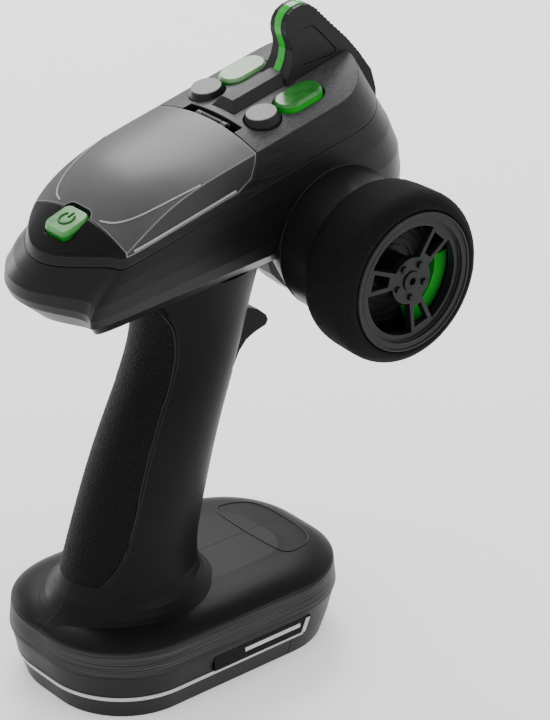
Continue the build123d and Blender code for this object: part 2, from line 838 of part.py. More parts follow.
TYRE_PROFILE_Z = 22.5
with BuildPart() as foam_tyre:
    with BuildSketch(Plane(origin=(0, WHEEL_Y, WHEEL_Z), x_dir=(1, 0, 0), z_dir=(0, -1, 0))):
        with BuildLine():
            Line((TYRE_BACK_X, TYRE_PROFILE_Z), (TYRE_BACK_X, 24.4))
            ThreePointArc((TYRE_BACK_X, 24.4), (44.4, 27.2), (48.4, 28.8))
            Line((48.4, 28.8), (59.0, TYRE_RADIUS))
            ThreePointArc((59.0, TYRE_RADIUS), (63.6, 28.1), (66.2, 25.0))
            Line((66.2, 25.0), (66.0, RIM_RADIUS + 0.1))
            Line((66.0, RIM_RADIUS + 0.1), (63.6, RIM_RADIUS + 0.1))
            Line((63.6, RIM_RADIUS + 0.1), (63.6, TYRE_PROFILE_Z))
            Line((63.6, TYRE_PROFILE_Z), (TYRE_BACK_X, TYRE_PROFILE_Z))
        make_face()
    revolve(axis=Axis((0, WHEEL_Y, WHEEL_Z), (1, 0, 0)))
save(foam_tyre, "foam_tyre")

with BuildPart() as wheel_rim:
    add(ring(44.0, 20.0, TYRE_PROFILE_Z, 20.8))
    add(ring(63.8, 2.2, RIM_RADIUS, 20.8))
    # face: outer land, hub and three split spokes
    with BuildSketch(wheel_plane(62.0)):
        Circle(21.0)
        Circle(18.6, mode=Mode.SUBTRACT)
        Circle(HUB_RADIUS)
        for angle in SPOKE_ANGLES:
            with Locations(Rotation(0, 0, angle) * Location((13.2, 0, 0))):
                Trapezoid(9.6, 13.0, 80, rotation=90)
            with Locations(Rotation(0, 0, angle) * Location((13.4, 0, 0))):
                Trapezoid(6.0, 7.4, 80, rotation=90, mode=Mode.SUBTRACT)
    extrude(amount=2.8)
    # hub barrel and rear web
    with BuildSketch(wheel_plane(50.0)):
        Circle(6.4)
    extrude(amount=14.0)
    with BuildSketch(wheel_plane(49.0)):
        Circle(21.0)
    extrude(amount=2.0)
    with BuildSketch(wheel_plane(45.0)):
        Circle(SHAFT_RADIUS)
    extrude(amount=13.0, mode=Mode.SUBTRACT)
    with BuildSketch(wheel_plane(61.0)):
        Circle(3.4)
    extrude(amount=6, mode=Mode.SUBTRACT)
save(wheel_rim, "wheel_rim")

with BuildPart() as lug_bolts:
    with BuildSketch(wheel_plane(64.8)):
        with PolarLocations(LUG_CIRCLE, LUG_COUNT, start_angle=52):
            RegularPolygon(1.25, 6)
    extrude(amount=0.9)
save(lug_bolts, "lug_bolts")

with BuildPart() as hub_screw:
    with BuildSketch(wheel_plane(61.0)):
        Circle(3.3)
    extrude(amount=4.4)
    with BuildSketch(wheel_plane(63.4)):
        RegularPolygon(1.5, 6)
    extrude(amount=4.0, mode=Mode.SUBTRACT)
save(hub_screw, "hub_screw")

with BuildPart() as brake_disc:
    add(ring(52.0, 2.2, 18.6, 6.4))
    for step in range(4):
        with BuildSketch(wheel_plane(53.6)):
            Circle(17.4 - 2.6 * step)
            Circle(16.4 - 2.6 * step, mode=Mode.SUBTRACT)
        extrude(amount=1.0, mode=Mode.SUBTRACT)
save(brake_disc, "brake_disc")

with BuildPart() as brake_caliper:
    with BuildSketch(wheel_plane(54.4)):
        with BuildLine():
            outer_arc = CenterArc((0, 0), 20.4, -72, 80)
            inner_arc = CenterArc((0, 0), 15.4, -72, 80)
            Line(outer_arc @ 0, inner_arc @ 0)
            Line(outer_arc @ 1, inner_arc @ 1)
        make_face()
    extrude(amount=4.6)
save(brake_caliper, "brake_caliper")

# ---------------------------------------------------------------- trigger
# outlines of the trigger and of its front pad, in (Y, Z)
BLADE_PROFILE = [
    (42.5, 149.0), (39.0, 141.0), (37.4, 134.5), (39.4, 129.0), (44.6, 123.4), (50.8, 118.0),
    (53.6, 117.4), (54.4, 119.4), (50.6, 124.4), (47.4, 129.8), (46.6, 134.6), (50.5, 137.5),
    (57.5, 137.5), (62.2, 133.0), (64.2, 127.6), (66.4, 127.4), (67.0, 130.0), (65.2, 136.5),
    (61.0, 143.5), (56.5, 149.0),
]
PAD_PROFILE = [
    (47.9, 134.2), (48.7, 130.2), (51.6, 125.4), (55.4, 120.3), (55.1, 119.6), (54.5, 119.6),
    (50.7, 124.5), (47.5, 129.9), (46.7, 134.5),
]

with BuildPart() as trigger_blade:
    add(side_slab(BLADE_PROFILE, TRIGGER_WIDTH / 2))
    with BuildSketch(facing_x(0, PIVOT_Y, PIVOT_Z)):
        Circle(6.0)
    extrude(amount=TRIGGER_WIDTH / 2, both=True)
    with BuildSketch(facing_x(-20, PIVOT_Y, PIVOT_Z)):
        Circle(PIVOT_RADIUS + 0.06)
    extrude(amount=40, mode=Mode.SUBTRACT)
save(trigger_blade, "trigger_blade")

with BuildPart() as trigger_pad:
    add(side_slab(PAD_PROFILE, TRIGGER_WIDTH / 2 - 0.8))
save(trigger_pad, "trigger_pad")

with BuildPart() as trigger_pin:
    with BuildSketch(facing_x(0, PIVOT_Y, PIVOT_Z)):
        Circle(PIVOT_RADIUS)
    extrude(amount=7.2, both=True)
save(trigger_pin, "trigger_pin")

with BuildPart() as trigger_brackets:
    for side in (-1, 1):
        with BuildSketch(facing_x(side * 6.4, PIVOT_Y, PIVOT_Z)):
            Rectangle(9, 7)
            with Locations((0, 6.0)):
                Rectangle(6, 12)
            Circle(PIVOT_RADIUS, mode=Mode.SUBTRACT)
        extrude(amount=0.9, both=True)
    with BuildSketch(Plane.XY.offset(PIVOT_Z + 12)):
        with Locations((0, PIVOT_Y)):
            Rectangle(14.6, 9)
    extrude(amount=1.6)
save(trigger_brackets, "trigger_brackets")

with BuildPart() as trigger_spring:
    for turn in range(3):
        with BuildSketch(facing_x(-9.0 - 1.2 * turn, PIVOT_Y, PIVOT_Z)):
            Circle(3.3)
            Circle(2.5, mode=Mode.SUBTRACT)
        extrude(amount=0.8)
    with BuildSketch(facing_x(-11.4, PIVOT_Y, PIVOT_Z)):
        with Locations((0, 4.0)):
            Rectangle(0.9, 2.6)
    extrude(amount=3.2)
save(trigger_spring, "trigger_spring")

with BuildPart() as throttle_sensor:
    with BuildSketch(facing_x(-17.0, PIVOT_Y, PIVOT_Z)):
        RectangleRounded(13, 7.2, 1.6)
    extrude(amount=5.0)
save(throttle_sensor, "throttle_sensor")

# ---------------------------------------------------------------- base
SIDE_PLATE_X = 34.0
SIDE_PLATE_FACE_X = 36.7
SIDE_PLATE_Y = (-12.0, 27.0)
SIDE_PLATE_Z = (9.6, 15.2)


def side_plate_slab(x_start, x_end, inset):
    """Block of the side plate's outline on the right side of the base."""
    with BuildPart() as slab:
        with BuildSketch(facing_x(x_start)):
            with BuildLine():
                Polyline(
                    (SIDE_PLATE_Y[0] + inset, SIDE_PLATE_Z[0] + inset),
                    (SIDE_PLATE_Y[1] - inset, SIDE_PLATE_Z[0] + inset),
                    (SIDE_PLATE_Y[1] + 3.0 - inset, SIDE_PLATE_Z[1] - inset),
                    (SIDE_PLATE_Y[0] + inset, SIDE_PLATE_Z[1] - inset),
                    close=True,
                )
            make_face()
        extrude(amount=x_end - x_start)
    return slab.part


with BuildPart() as tray_outer:
    loft(
        sections=[
            base_face(0.0, BASE_FLOOR_INSET),
            base_face(STRIP_Z, BASE_STRIP_INSET),
            base_face(SEAM_Z, 0.3),
        ],
        ruled=True,
    )
with BuildPart() as tray_inner:
    loft(
        sections=[
            base_face(WALL, BASE_FLOOR_INSET + WALL - 0.6),
            base_face(STRIP_Z, BASE_STRIP_INSET + WALL),
            base_face(SEAM_Z, 0.3 + WALL),
        ],
        ruled=True,
    )


def door_space(front_y, top_z):
    """Region of the battery door: the low rear part of the base."""
    with BuildPart() as space:
        with BuildSketch(Plane.XY.offset(-5)):
            with Locations((0, front_y - 60)):
                Rectangle(120, 120)
        extrude(amount=top_z + 5)
    return space.part


with BuildPart() as strip_ring:
    loft(sections=[base_face(STRIP_Z, 2.35), base_face(STRIP_Z + STRIP_HEIGHT, 2.0)], ruled=True)
    loft(
        sections=[base_face(STRIP_Z, 3.5), base_face(STRIP_Z + STRIP_HEIGHT, 3.5)],
        ruled=True,
        mode=Mode.SUBTRACT,
    )
    with BuildSketch(Plane.XY.offset(STRIP_Z - 1)):
        with Locations((0, 74 + 28)):
            Rectangle(120, 148)
    extrude(amount=4, mode=Mode.SUBTRACT)

with BuildPart() as base_tray:
    add(tray_outer.part)
    add(tray_inner.part, mode=Mode.SUBTRACT)
    add(door_space(DOOR_FRONT_Y + GAP, DOOR_TOP_Z + GAP), mode=Mode.SUBTRACT)
    add(strip_ring.part, mode=Mode.SUBTRACT)
    add(side_plate_slab(SIDE_PLATE_X, BASE_HALF_WIDTH + 1, 0.0), mode=Mode.SUBTRACT)
save(base_tray, "base_tray")

with BuildPart() as battery_door:
    add(tray_outer.part)
    add(tray_inner.part, mode=Mode.SUBTRACT)
    add(door_space(DOOR_FRONT_Y, DOOR_TOP_Z), mode=Mode.INTERSECT)
    # thumb grooves for sliding the door back
    for groove in range(4):
        with BuildSketch(Plane.XY):
            with Locations((0, -38 + 3.0 * groove)):
                SlotOverall(22, 1.2)
        extrude(amount=0.6, mode=Mode.SUBTRACT)
save(battery_door, "battery_door")

with BuildPart() as side_plate:
    add(side_plate_slab(SIDE_PLATE_X, SIDE_PLATE_FACE_X, 0.1))
save(side_plate, "side_plate")

with BuildPart() as silver_trim:
    add(strip_ring.part)
    # thin bar and slanted end piece on the side plate
    with BuildSketch(facing_x(SIDE_PLATE_FACE_X)):
        with Locations((13.0, 13.2)):
            Rectangle(24.0, 1.4)
        with BuildLine():
            Polyline((25.6, 9.9), (27.2, 9.9), (29.4, 14.9), (27.8, 14.9), close=True)
        make_face()
    extrude(amount=0.4)
save(silver_trim, "silver_trim")


def cell_plane(slot, y):
    """Plane across one cell at Y = y, facing +Y."""
    centre_x = (slot - 1.5) * CELL_PITCH
    return Plane(origin=(centre_x, y, CELL_CENTRE_Z), x_dir=(1, 0, 0), z_dir=(0, 1, 0))


with BuildPart() as battery_cells:
    for slot in range(4):
        with BuildSketch(cell_plane(slot, CELL_REAR_Y)):
            Circle(CELL_DIAMETER / 2)
        extrude(amount=CELL_LENGTH)
        with BuildSketch(cell_plane(slot, CELL_REAR_Y + CELL_LENGTH)):
            Circle(2.7)
        extrude(amount=1.0)
save(battery_cells, "battery_cells")

with BuildPart() as battery_holder:
    with BuildSketch(Plane.XY.offset(CELL_CENTRE_Z - 3)):
        with Locations((0, CELL_REAR_Y + CELL_LENGTH / 2)):
            Rectangle(50, 58)
            Rectangle(70, 53.4, mode=Mode.SUBTRACT)
    extrude(amount=SEAM_Z - CELL_CENTRE_Z + 3)
    with BuildSketch(Plane.XY.offset(SEAM_Z)):
        with Locations((0, CELL_REAR_Y + CELL_LENGTH / 2)):
            Rectangle(50, 58)
    extrude(amount=1.6)
save(battery_holder, "battery_holder")

with BuildPart() as battery_contacts:
    for slot in range(4):
        centre_x = (slot - 1.5) * CELL_PITCH * 0.78
        for y in (CELL_REAR_Y - 2.0, CELL_REAR_Y + CELL_LENGTH + 1.6):
            with BuildSketch(Plane(origin=(centre_x, y, CELL_CENTRE_Z), x_dir=(1, 0, 0), z_dir=(0, 1, 0))):
                Rectangle(8.0, 5.6)
            extrude(amount=0.4)
save(battery_contacts, "battery_contacts")

with BuildPart() as base_board:
    with BuildSketch(Plane.XY.offset(SEAM_Z + 3.0)):
        with Locations((0, 34)):
            RectangleRounded(46, 22, 2)
    extrude(amount=1.6)
save(base_board, "base_board")

with BuildPart() as buzzer:
    with BuildSketch(Plane.XY.offset(SEAM_Z - 4.0)):
        with Locations((12, 36)):
            Circle(6.0)
    extrude(amount=7.0)
save(buzzer, "buzzer")

# ---------------------------------------------------------------- under the lid
PANEL_LIFT = -0.5
PANEL_THICKNESS = 1.4
DIAL_PLACES = [(-9.0, 2.0), (9.0, 2.0), (-9.0, -13.0), (9.0, -13.0)]
SWITCH_PLACES = [(-5.5, -25.5), (5.5, -25.5)]


def panel_plane(lift):
    """Plane of the panel under the lid, raised along its normal from its top face."""
    return tilted(RIM_PLANE_Z + PANEL_LIFT).offset(lift)


with BuildPart() as lid_panel:
    with BuildSketch(panel_plane(-PANEL_THICKNESS)):
        with Locations((0, -10.0)):
            RectangleRounded(43, 43, 5)
        for x, y in DIAL_PLACES:
            with Locations((x, y)):
                Circle(1.9, mode=Mode.SUBTRACT)
        for x, y in SWITCH_PLACES:
            with Locations((x, y)):
                Rectangle(2.6, 6.0, mode=Mode.SUBTRACT)
    extrude(amount=PANEL_THICKNESS)
save(lid_panel, "lid_panel")

for number, (x, y) in enumerate(DIAL_PLACES, start=1):
    with BuildPart() as dial:
        with BuildSketch(panel_plane(0.5)):
            with Locations((x, y)):
                Circle(4.6)
        extrude(amount=3.6)
        with BuildSketch(panel_plane(3.5)):
            with Locations((x, y)):
                Rectangle(1.0, 9.4)
        extrude(amount=1.0, mode=Mode.SUBTRACT)
        with BuildSketch(panel_plane(-2.4)):
            with Locations((x, y)):
                Circle(1.5)
        extrude(amount=3.0)
    save(dial, f"trim_dial_{number}")

for number, (x, y) in enumerate(SWITCH_PLACES, start=1):
    with BuildPart() as slider:
        with BuildSketch(panel_plane(-2.2)):
            with Locations((x, y - 1.2)):
                Rectangle(2.0, 2.6)
        extrude(amount=4.0)
    save(slider, f"reverse_switch_{number}")

with BuildPart() as trim_board:
    with BuildSketch(panel_plane(-6.2)):
        with Locations((0, -10.5)):
            RectangleRounded(40, 50, 4)
    extrude(amount=1.6)
    for x, y in DIAL_PLACES:
        with BuildSketch(panel_plane(-4.7)):
            with Locations((x, y)):
                Rectangle(8, 8)
                Circle(1.7, mode=Mode.SUBTRACT)
        extrude(amount=2.6)
    for x, y in SWITCH_PLACES:
        with BuildSketch(panel_plane(-4.7)):
            with Locations((x, y)):
                Rectangle(5, 9)
                Rectangle(2.6, 6.0, mode=Mode.SUBTRACT)
        extrude(amount=2.4)
save(trim_board, "trim_board")

with BuildPart() as main_board:
    with BuildSketch(tilted(EDGE_Z + 9.6, 3.4)):
        with Locations((0, 2)):
            RectangleRounded(42, 62, 5)
    extrude(amount=1.6)
save(main_board, "main_board")

with BuildPart() as case_screws:
    for x, y in ((-22, 34), (22, 34), (-9, 46), (9, 46)):
        with BuildSketch(Plane.XY.offset(WALL + 0.4)):
            with Locations((x, y)):
                Circle(2.6)
        extrude(amount=1.8)
        with BuildSketch(Plane.XY.offset(WALL + 1.5)):
            with Locations((x, y)):
                Circle(1.3)
        extrude(amount=12.0)
save(case_screws, "case_screws")
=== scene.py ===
import json
import math

import bmesh
import bpy
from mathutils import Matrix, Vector, noise
from mathutils.bvhtree import BVHTree


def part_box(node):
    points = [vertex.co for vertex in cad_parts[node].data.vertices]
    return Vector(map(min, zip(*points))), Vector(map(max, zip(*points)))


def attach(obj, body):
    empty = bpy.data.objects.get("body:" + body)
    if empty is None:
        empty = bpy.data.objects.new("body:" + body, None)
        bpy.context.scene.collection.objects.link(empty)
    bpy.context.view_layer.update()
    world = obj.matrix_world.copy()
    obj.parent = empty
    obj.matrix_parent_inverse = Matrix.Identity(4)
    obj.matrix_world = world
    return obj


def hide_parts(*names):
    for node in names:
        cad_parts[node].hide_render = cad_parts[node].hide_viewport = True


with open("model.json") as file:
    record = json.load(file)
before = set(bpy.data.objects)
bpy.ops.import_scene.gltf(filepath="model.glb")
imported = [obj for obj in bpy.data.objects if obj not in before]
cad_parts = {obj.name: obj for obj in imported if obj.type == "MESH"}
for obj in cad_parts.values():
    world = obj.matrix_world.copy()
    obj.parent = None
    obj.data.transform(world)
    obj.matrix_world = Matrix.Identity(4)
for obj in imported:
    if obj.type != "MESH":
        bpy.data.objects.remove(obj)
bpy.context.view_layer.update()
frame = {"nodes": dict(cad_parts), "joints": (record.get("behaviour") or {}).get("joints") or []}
nodes = frame["nodes"]
MM = 0.001
DECK_TILT = math.radians(12.0)
POWER_TILT = math.radians(18.0)
DECK_AXIS = Vector((0, -math.sin(DECK_TILT), math.cos(DECK_TILT)))
POWER_AXIS = Vector((0, -math.sin(POWER_TILT), math.cos(POWER_TILT)))
UP = Vector((0, 0, 1))
# heights in metres between which the brushed band round the base fades in and out
BAND_BOTTOM = (0.0172, 0.0178)
BAND_TOP = (0.0268, 0.0258)
# linear colours
BLACK = (0.008, 0.008, 0.0085)
SATIN_DARK = (0.0035, 0.0035, 0.0038)
SATIN_LIGHT = (0.0060, 0.0060, 0.0064)
GLOW_GREEN = (0.02, 0.9, 0.08, 1.0)
# how opaque the lid's top is; its sides are fully opaque
LID_TOP_ALPHA = 0.88


# ---------------------------------------------------------------- material kit
class Shader:
    """A node material under construction."""

    def __init__(self, name):
        self.material = bpy.data.materials.new(name)
        self.material.use_nodes = True
        self.tree = self.material.node_tree
        self.bsdf = self.tree.nodes["Principled BSDF"]
        self.coords = self.add("ShaderNodeTexCoord").outputs["Object"]

    def add(self, kind, **settings):
        node = self.tree.nodes.new(kind)
        for key, value in settings.items():
            setattr(node, key, value)
        return node

    def link(self, output, socket):
        self.tree.links.new(output, socket)

    def stretched(self, scale):
        """Object coordinates multiplied by a scale per axis."""
        mapping = self.add("ShaderNodeMapping")
        mapping.inputs["Scale"].default_value = scale
        self.link(self.coords, mapping.inputs["Vector"])
        return mapping.outputs["Vector"]

    def noise(self, scale, detail=3.0, stretch=(1, 1, 1)):
        """Noise with a number of features per metre."""
        node = self.add("ShaderNodeTexNoise")
        node.inputs["Scale"].default_value = scale
        node.inputs["Detail"].default_value = detail
        self.link(self.stretched(stretch), node.inputs["Vector"])
        return node.outputs["Fac"]

    def cells(self, scale, stretch=(1, 1, 1)):
        """Distance to the edge of each cell, with a number of cells per metre."""
        node = self.add("ShaderNodeTexVoronoi", feature="DISTANCE_TO_EDGE")
        node.inputs["Scale"].default_value = scale
        self.link(self.stretched(stretch), node.inputs["Vector"])
        return node.outputs["Distance"]

    def remap(self, source, low, high, to_low=0.0, to_high=1.0):
        """A value taken from one range to another, and held at its ends."""
        node = self.add("ShaderNodeMapRange")
        node.inputs["From Min"].default_value = low
        node.inputs["From Max"].default_value = high
        node.inputs["To Min"].default_value = to_low
        node.inputs["To Max"].default_value = to_high
        self.link(source, node.inputs["Value"])
        return node.outputs["Result"]

    def along(self, axis, low, high):
        """0 to 1 as the object position goes from low to high along an axis."""
        dot = self.add("ShaderNodeVectorMath", operation="DOT_PRODUCT")
        dot.inputs[1].default_value = axis
        self.link(self.coords, dot.inputs[0])
        return self.remap(dot.outputs["Value"], low, high)

    def facing_up(self, low, high):
        """0 to 1 as the surface turns from steep to level."""
        geometry = self.add("ShaderNodeNewGeometry")
        parts = self.add("ShaderNodeSeparateXYZ")
        self.link(geometry.outputs["Normal"], parts.inputs[0])
        return self.remap(parts.outputs["Z"], low, high)

    def math(self, operation, a, b):
        """An operation on two values, each a number or an output."""
        node = self.add("ShaderNodeMath", operation=operation)
        for value, socket in ((a, node.inputs[0]), (b, node.inputs[1])):
            if isinstance(value, (int, float)):
                socket.default_value = value
            else:
                self.link(value, socket)
        return node.outputs[0]

    def mix(self, factor, first, second):
        """Two colours mixed by a factor, each a tuple or an output."""
        node = self.add("ShaderNodeMix", data_type="RGBA")
        self.link(factor, node.inputs[0])
        for value, socket in ((first, node.inputs[6]), (second, node.inputs[7])):
            if isinstance(value, (tuple, list)):
                socket.default_value = (*value, 1.0)
            else:
                self.link(value, socket)
        return node.outputs[2]

    def edges(self, radius):
        """Rounded normal near sharp edges, and a mask that is 1 on them."""
        bevel = self.add("ShaderNodeBevel", samples=6)
        bevel.inputs["Radius"].default_value = radius
        geometry = self.add("ShaderNodeNewGeometry")
        dot = self.add("ShaderNodeVectorMath", operation="DOT_PRODUCT")
        self.link(bevel.outputs["Normal"], dot.inputs[0])
        self.link(geometry.outputs["Normal"], dot.inputs[1])
        return bevel.outputs["Normal"], self.remap(dot.outputs["Value"], 0.995, 0.9)

    def bump(self, height, strength, distance, normal=None):
        node = self.add("ShaderNodeBump")
        node.inputs["Strength"].default_value = strength
        node.inputs["Distance"].default_value = distance
        self.link(height, node.inputs["Height"])
        if normal is not None:
            self.link(normal, node.inputs["Normal"])
        return node.outputs["Normal"]

    def finish(self, color, roughness, normal, specular=0.2):
        """Link the last values to the shader and return the material."""
        self.bsdf.inputs["Specular IOR Level"].default_value = specular
        self.link(color, self.bsdf.inputs["Base Color"])
        self.link(roughness, self.bsdf.inputs["Roughness"])
        self.link(normal, self.bsdf.inputs["Normal"])
        return self.material


def shade(color, factor):
    """A colour made lighter or darker, at most white."""
    return tuple(min(1.0, channel * factor) for channel in color)


def plastic(
    name,
    color,
    roughness=0.4,
    grain=0.12,
    grain_scale=2600.0,
    stretch=(1, 1, 1),
    edge=0.35,
    edge_lift=2.2,
    metallic=0.0,
    coat=0.0,
    mottling=0.14,
    specular=0.2,
):
    """Moulded plastic or metal with fine grain, mottling and a painted highlight along its sharp
    edges, broken up by noise.
    """
    s = Shader(name)
    soft_normal, edge_mask = s.edges(edge * MM)
    cloud = s.noise(45.0, 4.0)
    tone = s.mix(s.remap(cloud, 0.3, 0.7), shade(color, 1 - mottling), shade(color, 1 + mottling))
    # painted highlight: sharp edges lightened by edge_lift, broken up by noise
    edge_highlight = s.math("MULTIPLY", edge_mask, s.remap(s.noise(220.0, 5.0), 0.38, 0.62, 0.15, 0.6))
    tone = s.mix(edge_highlight, tone, shade(color, edge_lift))
    fine = s.noise(grain_scale, 4.0, stretch)
    rough = s.math(
        "ADD",
        s.remap(cloud, 0.2, 0.8, roughness - 0.05, roughness + 0.05),
        s.remap(fine, 0.2, 0.8, -0.04, 0.04),
    )
    s.bsdf.inputs["Metallic"].default_value = metallic
    s.bsdf.inputs["Coat Weight"].default_value = coat
    s.bsdf.inputs["Coat Roughness"].default_value = 0.12
    return s.finish(tone, rough, s.bump(fine, grain, 0.1 * MM, soft_normal), specular)


def handle_material():
    """Satin shell with a painted highlight along its sharp edges; the band under the base's
    crease is finely brushed round its sides.
    """
    s = Shader("handle_satin")
    soft_normal, edge_mask = s.edges(0.4 * MM)
    cloud = s.noise(40.0, 4.0)
    tone = s.mix(s.remap(cloud, 0.3, 0.7), SATIN_DARK, SATIN_LIGHT)
    band = s.math("MULTIPLY", s.along(UP, *BAND_BOTTOM), s.along(UP, *BAND_TOP))
    hairlines = s.noise(700.0, 6.0, (0.03, 0.03, 6.0))
    streak = s.mix(s.remap(hairlines, 0.35, 0.65), (0.006, 0.006, 0.0065), (0.055, 0.055, 0.058))
    tone = s.mix(band, tone, streak)
    # painted highlight along sharp edges
    tone = s.mix(s.math("MULTIPLY", edge_mask, 0.4), tone, (0.022, 0.022, 0.023))
    fine = s.noise(2600.0, 4.0)
    brushed = s.math("MULTIPLY", hairlines, s.math("MULTIPLY", band, 2.5))
    height = s.math("ADD", s.math("MULTIPLY", fine, 0.5), brushed)
    rough = s.math(
        "ADD", s.remap(cloud, 0.2, 0.8, 0.36, 0.44), s.remap(fine, 0.2, 0.8, -0.03, 0.03)
    )
    return s.finish(tone, rough, s.bump(height, 0.16, 0.12 * MM, soft_normal), 0.095)


def rubber_material(name, color, scale, strength):
    """Pebbled rubber: rounded grains, with painted shade in the creases between them and a
    painted highlight on their tops.
    """
    s = Shader(name)
    soft_normal, _ = s.edges(0.3 * MM)
    grains = s.remap(s.cells(scale, (1, 1, 0.75)), 0.0, 0.25)
    small = s.noise(scale * 3.2, 4.0)
    # painted shade in the creases between grains, painted highlight on the grain tops
    tone = s.mix(grains, shade(color, 0.45), shade(color, 1.25))
    height = s.math("ADD", grains, s.math("MULTIPLY", small, 0.45))
    rough = s.remap(small, 0.2, 0.8, 0.46, 0.62)
    return s.finish(tone, rough, s.bump(height, strength, 0.2 * MM, soft_normal), 0.09)


def foam_material():
    """Open-pored black foam, with painted shade in its pores."""
    s = Shader("tyre_foam")
    coarse = s.noise(900.0, 6.0)
    pores = s.remap(s.cells(1500.0), 0.0, 0.12)
    tone = s.mix(s.remap(coarse, 0.3, 0.7), (0.0015, 0.0015, 0.0015), (0.008, 0.008, 0.008))
    # painted shade: the pores are darkened
    tone = s.mix(pores, (0.001, 0.001, 0.001), tone)
    height = s.math("ADD", s.math("MULTIPLY", coarse, 1.2), s.math("MULTIPLY", pores, 0.5))
    rough = s.remap(coarse, 0.2, 0.8, 0.62, 0.8)
    return s.finish(tone, rough, s.bump(height, 0.5, 0.22 * MM), 0.09)


def lit_green(name, axis, span, side, top, painted_glow):
    """Translucent moulding, from its side colour to its top colour along an axis, with a painted
    highlight along its sharp edges and a painted glow.
    """
    s = Shader(name)
    soft_normal, edge_mask = s.edges(0.35 * MM)
    rise = s.along(axis, *span)
    cloud = s.noise(260.0, 3.0)
    crown = s.mix(s.remap(cloud, 0.35, 0.65), shade(top, 0.72), shade(top, 1.12))
    tone = s.mix(rise, side, crown)
    # painted highlight along sharp edges
    tone = s.mix(s.math("MULTIPLY", edge_mask, 0.5), tone, shade(top, 1.35))
    s.bsdf.inputs["Coat Weight"].default_value = 0.25
    s.bsdf.inputs["Coat Roughness"].default_value = 0.08
    s.bsdf.inputs["Transmission Weight"].default_value = 0.15
    # painted glow: green emission, though the part is no lamp
    s.bsdf.inputs["Emission Color"].default_value = GLOW_GREEN
    s.bsdf.inputs["Emission Strength"].default_value = painted_glow
    rough = s.remap(cloud, 0.3, 0.7, 0.13, 0.25)
    return s.finish(tone, rough, s.bump(cloud, 0.05, 0.2 * MM, soft_normal))


def smoked_lid():
    """Tinted clear plastic: dark through its sides, with a painted milky sheen where it faces up
    and a painted pale highlight along its edges.
    """
    s = Shader("lid_smoked")
    soft_normal, edge_mask = s.edges(0.75 * MM)
    cloud = s.noise(45.0, 3.0)
    # painted sheen: milky grey where the lid faces up, as if lit from above
    top_sheen = s.mix(s.remap(cloud, 0.3, 0.7), (0.034, 0.034, 0.035), (0.058, 0.058, 0.060))
    top = s.facing_up(0.45, 0.9)
    tone = s.mix(top, (0.006, 0.006, 0.0065), top_sheen)
    s.link(s.remap(top, 0.0, 1.0, 1.0, LID_TOP_ALPHA), s.bsdf.inputs["Alpha"])
    # painted highlight: pale along sharp edges
    tone = s.mix(s.math("MULTIPLY", edge_mask, 0.85), tone, (0.36, 0.36, 0.37))
    s.bsdf.inputs["Coat Weight"].default_value = 0.12
    s.bsdf.inputs["Coat Roughness"].default_value = 0.2
    rough = s.remap(cloud, 0.2, 0.8, 0.34, 0.44)
    return s.finish(tone, rough, s.bump(s.noise(70.0, 2.0), 0.03, 0.2 * MM, soft_normal), 0.42)


def deck_material():
    """Hairline-brushed deck with a painted sheen: grey where it faces up, near black down its
    flanks, and a painted highlight along its sharp edges.
    """
    s = Shader("deck_brushed")
    soft_normal, edge_mask = s.edges(0.5 * MM)
    hairlines = s.noise(900.0, 4.0, (3.0, 0.03, 3.0))
    cloud = s.noise(45.0, 4.0)
    lines = s.remap(hairlines, 0.35, 0.65)
    # painted sheen: the up-facing deck is lighter, as if reflecting light from above
    top = s.mix(lines, (0.030, 0.030, 0.031), (0.066, 0.066, 0.068))
    flank = s.mix(lines, (0.004, 0.004, 0.0045), (0.013, 0.013, 0.0135))
    tone = s.mix(s.facing_up(0.72, 0.95), flank, top)
    # painted highlight along sharp edges
    tone = s.mix(s.math("MULTIPLY", edge_mask, 0.4), tone, (0.075, 0.075, 0.077))
    s.bsdf.inputs["Metallic"].default_value = 0.12
    rough = s.math(
        "ADD", s.remap(cloud, 0.2, 0.8, 0.36, 0.44), s.remap(hairlines, 0.2, 0.8, -0.05, 0.05)
    )
    return s.finish(tone, rough, s.bump(hairlines, 0.22, 0.1 * MM, soft_normal), 0.2)


def span_along(name, axis):
    """Lowest and highest place of a CAD node along an axis."""
    heights = [axis.dot(v.co) for v in nodes[name].data.vertices]
    return min(heights), max(heights)


satin = handle_material()
head_satin = plastic(
    "head_satin", (0.0045, 0.0045, 0.0048), 0.36, 0.10, edge=0.5, edge_lift=4.0
)
deck_brushed = deck_material()
gloss_black = plastic(
    "gloss_black", (0.003, 0.003, 0.0033), 0.2, 0.02, edge=0.6, edge_lift=8.0, specular=0.1
)
shell_black = plastic("shell_black", BLACK, 0.42, 0.14, edge_lift=3.0)
trigger_black = plastic("trigger_black", (0.007, 0.007, 0.0075), 0.34, 0.08, edge_lift=4.0)
fin_black = plastic("fin_black", BLACK, 0.42, 0.16, 2200.0, edge=0.45, edge_lift=3.0)
gunmetal = plastic(
    "rim_gunmetal", (0.017, 0.0172, 0.018), 0.32, 0.06, edge=0.4, edge_lift=6.0, metallic=0.5
)
steel = plastic(
    "turned_steel", (0.42, 0.42, 0.43), 0.32, 0.08, 1800.0, (1, 4, 4), edge_lift=1.5,
    metallic=0.9,
)
silver = plastic(
    "silver_foil", (0.46, 0.46, 0.47), 0.42, 0.08, 900.0, (0.05, 0.05, 4.0), edge=0.2,
    edge_lift=1.5, metallic=0.3, specular=0.5,
)
bolt_black = plastic("bolt_black", (0.012, 0.012, 0.012), 0.3, 0.05, edge_lift=6.0, metallic=0.4)
disc_black = plastic(
    "disc_black", (0.012, 0.012, 0.0125), 0.34, 0.12, 1500.0, edge=0.25, edge_lift=5.0,
    metallic=0.4,
)
